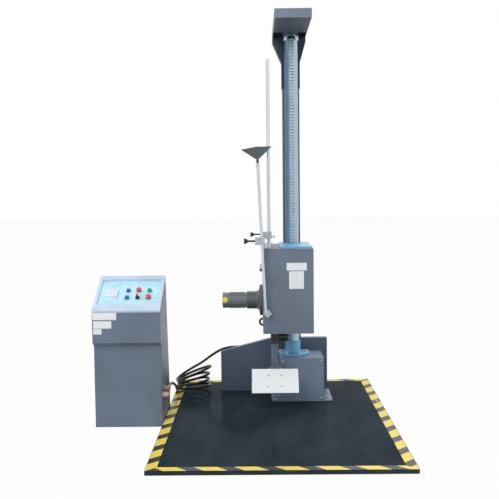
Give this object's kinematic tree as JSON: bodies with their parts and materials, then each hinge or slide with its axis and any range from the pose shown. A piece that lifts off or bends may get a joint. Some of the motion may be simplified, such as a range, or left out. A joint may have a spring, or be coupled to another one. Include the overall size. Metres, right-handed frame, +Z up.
{
  "type": "drop tester",
  "caption": "Single arm package drop tester: hazard-taped base plate, guide post with rack-driven carriage, hinged support plate, corner cup rod, cantilever head and separate operator console",
  "frame": {"origin": "centre of the underside of the base plate, on the floor", "axes": "+X to the right seen from the front, +Y to the back, +Z up; the operator console stands on the left"},
  "size_m": [1.555, 1.7, 2.16],
  "materials": {
    "plate_black": "gloss",
    "hazard_tape": "satin",
    "pedestal_grey": "satin",
    "body_grey": "satin",
    "panel_grey": "satin",
    "column_steel": "satin",
    "bracket_dark": "gloss",
    "cast_blue": "satin",
    "top_ring": "satin",
    "bright_steel": "satin",
    "ground_steel": "polished",
    "dark_steel": "satin",
    "dark_iron": "satin",
    "bronze": "satin",
    "drive_paint": "satin",
    "white_plate": "gloss",
    "clamp_grey": "satin",
    "cup_steel": "satin",
    "fascia_light": "satin",
    "control_face": "satin",
    "meter_black": "matte",
    "button_blue": "gloss",
    "button_red": "gloss",
    "button_green": "gloss",
    "knob_black": "gloss",
    "plug_beige": "matte",
    "cable_black": "satin"
  },
  "bodies": {
    "frame": {"base_plate": "plate_black", "edge_tape": "hazard_tape", "pedestal_box": "pedestal_grey", "pedestal_cover": "pedestal_grey", "cover_screws": "bright_steel", "hex_bolts": "bright_steel", "post_flange": "cast_blue", "guide_post": "ground_steel", "gear_rack": "dark_steel", "rear_column": "column_steel", "rear_panel": "panel_grey", "head_bracket": "bracket_dark", "head_hood": "body_grey", "head_underplate": "bracket_dark", "top_clamp": "top_ring", "console_cabinet": "body_grey", "console_back": "body_grey", "control_panel": "control_face", "console_fascia": "fascia_light", "height_meter": "meter_black", "control_bezels": "bright_steel", "side_sockets": "plug_beige", "cable_plug": "plug_beige", "terminal_box": "dark_iron", "cable_upper": "cable_black", "cable_coil": "cable_black", "cable_tail": "cable_black"},
    "carriage": {"carriage_cover": "body_grey", "carriage_base": "dark_steel", "guide_housing": "cast_blue", "guide_bushes": "bronze", "shaft_bearing": "dark_iron", "gearbox": "drive_paint", "hoist_motor": "drive_paint", "fan_cover": "drive_paint", "side_hubs": "bright_steel", "motor_lead": "cable_black", "release_head": "dark_iron", "drop_arm": "dark_steel", "hinge_pin": "bright_steel", "rod_socket": "bright_steel", "stand_rod": "ground_steel"},
    "pinion": {"drive_pinion": "dark_steel"},
    "support": {"support_plate": "white_plate", "plate_bracket": "dark_steel", "plate_screws": "bright_steel"},
    "clamp": {"upper_clamp": "clamp_grey"},
    "clamp_knob": {"upper_knob": "knob_black"},
    "clamp_thumb": {"thumb_screw": "bright_steel"},
    "boom": {"lower_clamp": "clamp_grey"},
    "boom_knob": {"lower_knob": "knob_black"},
    "rod": {"leaning_rod": "ground_steel", "rod_end_pad": "clamp_grey"},
    "cup": {"corner_cup": "cup_steel"},
    "power": {"power_button": "button_blue"},
    "stop": {"stop_button": "button_red"},
    "up": {"up_button": "button_green"},
    "down": {"down_button": "button_blue"},
    "drop": {"drop_button": "button_red"},
    "selector": {"mode_selector": "knob_black"}
  },
  "joints": [
    {"name": "carriage_lift", "type": "slide", "parent": "frame", "child": "carriage", "axis": [0, 0, 1], "range_m": [0, 1.15]},
    {"name": "pinion_spin", "type": "hinge", "parent": "carriage", "child": "pinion", "pos_m": [0.107, 0.35002, 0.604], "axis": [-1, 0, 0], "range_deg": [-5, 1335]},
    {"name": "plate_fold", "type": "hinge", "parent": "carriage", "child": "support", "pos_m": [-0.005, 0.225, 0.231], "axis": [-1, 0, 0], "range_deg": [0, 48]},
    {"name": "clamp_lift", "type": "slide", "parent": "carriage", "child": "clamp", "axis": [0, 0, 1], "range_m": [0, 0.45]},
    {"name": "clamp_knob_turn", "type": "hinge", "parent": "clamp", "child": "clamp_knob", "pos_m": [-0.08, 0.15, 0.992], "axis": [1, 0, 0], "range_deg": [-180, 180]},
    {"name": "clamp_thumb_turn", "type": "hinge", "parent": "clamp", "child": "clamp_thumb", "pos_m": [-0.018, 0.15, 0.98], "axis": [-1, 0, 0], "range_deg": [-180, 180]},
    {"name": "rod_swivel", "type": "hinge", "parent": "clamp", "child": "boom", "pos_m": [-0.07, 0.074, 0.968], "axis": [0, 1, 0], "range_deg": [-25, 0]},
    {"name": "boom_knob_turn", "type": "hinge", "parent": "boom", "child": "boom_knob", "pos_m": [-0.109, 0.04, 0.962], "axis": [1, 0, 0], "range_deg": [-180, 180]},
    {"name": "rod_slide", "type": "slide", "parent": "boom", "child": "rod", "axis": [-0.0445, 0, 0.999], "range_m": [-0.1, 0.15]},
    {"name": "cup_swivel", "type": "hinge", "parent": "rod", "child": "cup", "pos_m": [-0.09046, 0.04, 1.37659], "axis": [-0.0445, 0, 0.999], "continuous": true},
    {"name": "power_press", "type": "slide", "parent": "frame", "child": "power", "axis": [0, 0.4658, -0.8849], "range_m": [0, 0.004], "stiffness_N_per_m": 400, "springref_m": -0.003},
    {"name": "stop_press", "type": "slide", "parent": "frame", "child": "stop", "axis": [0, 0.4658, -0.8849], "range_m": [0, 0.004], "stiffness_N_per_m": 400, "springref_m": -0.003},
    {"name": "up_press", "type": "slide", "parent": "frame", "child": "up", "axis": [0, 0.4658, -0.8849], "range_m": [0, 0.004], "stiffness_N_per_m": 400, "springref_m": -0.003},
    {"name": "down_press", "type": "slide", "parent": "frame", "child": "down", "axis": [0, 0.4658, -0.8849], "range_m": [0, 0.004], "stiffness_N_per_m": 400, "springref_m": -0.003},
    {"name": "drop_press", "type": "slide", "parent": "frame", "child": "drop", "axis": [0, 0.4658, -0.8849], "range_m": [0, 0.004], "stiffness_N_per_m": 400, "springref_m": -0.003},
    {"name": "selector_turn", "type": "hinge", "parent": "frame", "child": "selector", "pos_m": [-0.7315, -0.04116, 0.68029], "axis": [0, -0.4658, 0.8849], "range_deg": [-45, 45]}
  ],
  "couplings": [
    {"joint": "pinion_spin", "follows": "carriage_lift", "rad_per_m": 20.202}
  ]
}
